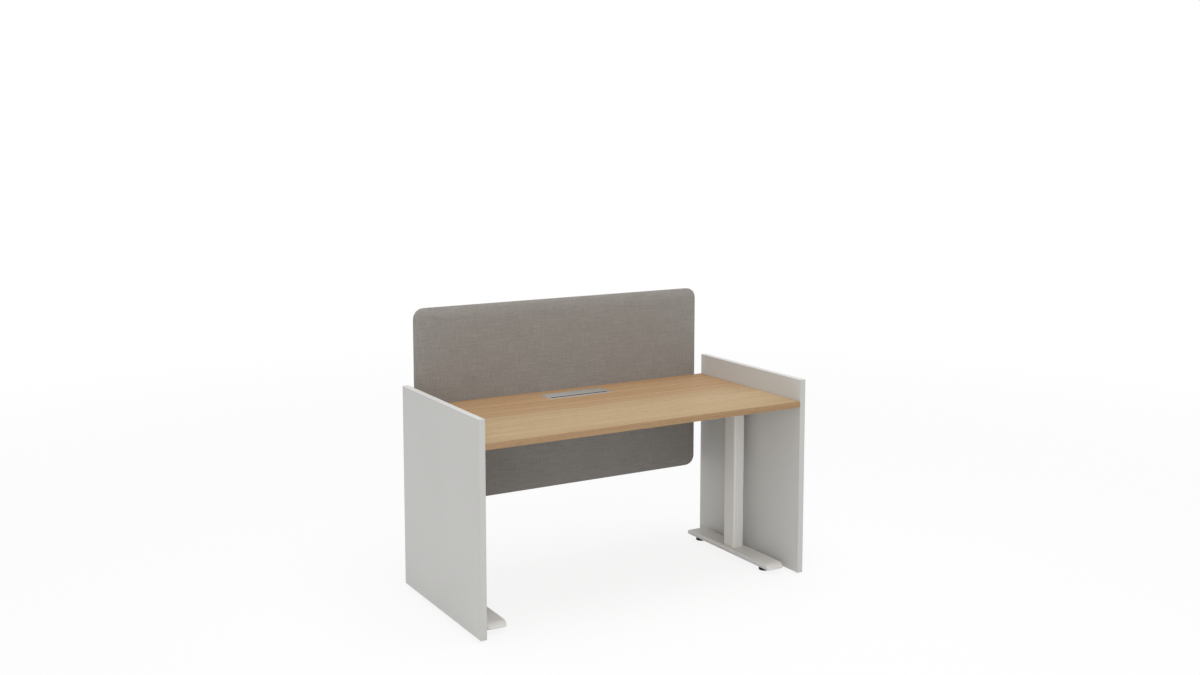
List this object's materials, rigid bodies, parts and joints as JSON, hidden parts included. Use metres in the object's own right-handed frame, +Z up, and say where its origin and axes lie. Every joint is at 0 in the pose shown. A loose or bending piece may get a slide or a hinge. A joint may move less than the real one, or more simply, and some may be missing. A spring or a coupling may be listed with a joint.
{
  "type": "height-adjustable desk",
  "caption": "Sit-stand desk: oak-look top between grey side panels, fabric screen behind, cable flap, and lifting columns on T-feet.",
  "frame": {"origin": "middle of the footprint, on the floor under the glides", "axes": "+X to the sitter's right along the width, +Y from the sitter to the screen, +Z up"},
  "size_m": [1.4506, 0.7282, 1.112],
  "materials": {
    "oak_laminate": "satin oak-look laminate",
    "light_grey_laminate": "matt light grey laminate",
    "core_board": "raw board",
    "grey_fabric": "woven grey upholstery fabric over thin foam",
    "light_grey_paint": "matt powder coat",
    "silver_lacquer": "silver, fine satin",
    "zinc_plated_steel": "zinc plated",
    "black_plastic": "matt black",
    "white_plastic": "natural white",
    "motor_grey": "dark grey",
    "circuit_board": "green",
    "dark_grey_plastic": "matt dark grey"
  },
  "bodies": {
    "base": {"foot_left": "light_grey_paint", "foot_bolt_left_front": "zinc_plated_steel", "foot_bolt_left_rear": "zinc_plated_steel", "base_plate_left": "zinc_plated_steel", "outer_tube_left": "light_grey_paint", "guide_collar_left": "dark_grey_plastic", "push_tube_left": "zinc_plated_steel", "spindle_nut_left": "white_plastic", "foot_right": "light_grey_paint", "foot_bolt_right_front": "zinc_plated_steel", "foot_bolt_right_rear": "zinc_plated_steel", "base_plate_right": "zinc_plated_steel", "outer_tube_right": "light_grey_paint", "guide_collar_right": "dark_grey_plastic", "push_tube_right": "zinc_plated_steel", "spindle_nut_right": "white_plastic"},
    "top": {"inner_tube_left": "light_grey_paint", "slide_shoe_left": "black_plastic", "gear_motor_left": "motor_grey", "head_plate_left": "zinc_plated_steel", "support_arm_left": "light_grey_paint", "side_panel_left": "light_grey_laminate", "panel_bracket_left_front": "zinc_plated_steel", "panel_bracket_left_rear": "zinc_plated_steel", "screen_bracket_left": "light_grey_paint", "inner_tube_right": "light_grey_paint", "slide_shoe_right": "black_plastic", "gear_motor_right": "motor_grey", "head_plate_right": "zinc_plated_steel", "support_arm_right": "light_grey_paint", "side_panel_right": "light_grey_laminate", "panel_bracket_right_front": "zinc_plated_steel", "panel_bracket_right_rear": "zinc_plated_steel", "screen_bracket_right": "light_grey_paint", "cross_rail_front": "light_grey_paint", "cross_rail_rear": "light_grey_paint", "desktop": "oak_laminate", "screen_front_pad": "grey_fabric", "screen_rear_pad": "grey_fabric", "screen_core": "core_board", "flap_frame": "silver_lacquer", "flap_pin": "zinc_plated_steel", "cable_tray": "light_grey_paint", "control_box_base": "dark_grey_plastic", "control_box_cover": "dark_grey_plastic", "control_board": "circuit_board", "handset_body": "dark_grey_plastic"},
    "spindle_left": {"spindle_left": "zinc_plated_steel"},
    "spindle_right": {"spindle_right": "zinc_plated_steel"},
    "flap_lid": {"flap_lid": "silver_lacquer"},
    "leveller_left_front": {"leveller_left_front": "black_plastic"},
    "leveller_left_rear": {"leveller_left_rear": "black_plastic"},
    "leveller_right_front": {"leveller_right_front": "black_plastic"},
    "leveller_right_rear": {"leveller_right_rear": "black_plastic"},
    "up_button": {"handset_up_button": "white_plastic"},
    "down_button": {"handset_down_button": "white_plastic"}
  },
  "joints": [
    {"name": "lift", "type": "slide", "parent": "base", "child": "top", "axis": [0, 0, 1], "range_m": [0, 0.45]},
    {"name": "spindle_left_turn", "type": "hinge", "parent": "top", "child": "spindle_left", "pos_m": [-0.632, -0.01415, 0.55], "axis": [0, 0, 1], "continuous": true},
    {"name": "spindle_right_turn", "type": "hinge", "parent": "top", "child": "spindle_right", "pos_m": [0.632, -0.01415, 0.55], "axis": [0, 0, 1], "continuous": true},
    {"name": "flap_hinge", "type": "hinge", "parent": "top", "child": "flap_lid", "pos_m": [0, 0.27395, 0.7214], "axis": [-1, 0, 0], "range_deg": [0, 100]},
    {"name": "leveller_left_front_screw", "type": "slide", "parent": "base", "child": "leveller_left_front", "axis": [0, 0, -1], "range_m": [0, 0.01]},
    {"name": "leveller_left_rear_screw", "type": "slide", "parent": "base", "child": "leveller_left_rear", "axis": [0, 0, -1], "range_m": [0, 0.01]},
    {"name": "leveller_right_front_screw", "type": "slide", "parent": "base", "child": "leveller_right_front", "axis": [0, 0, -1], "range_m": [0, 0.01]},
    {"name": "leveller_right_rear_screw", "type": "slide", "parent": "base", "child": "leveller_right_rear", "axis": [0, 0, -1], "range_m": [0, 0.01]},
    {"name": "up_button_press", "type": "slide", "parent": "top", "child": "up_button", "axis": [0, 1, 0], "range_m": [0, 0.0012], "stiffness_N_per_m": 400, "springref_m": -0.003},
    {"name": "down_button_press", "type": "slide", "parent": "top", "child": "down_button", "axis": [0, 1, 0], "range_m": [0, 0.0012], "stiffness_N_per_m": 400, "springref_m": -0.003}
  ],
  "couplings": [
    {"joint": "spindle_left_turn", "follows": "lift", "rad_per_m": 523.6},
    {"joint": "spindle_right_turn", "follows": "lift", "rad_per_m": 523.6}
  ]
}
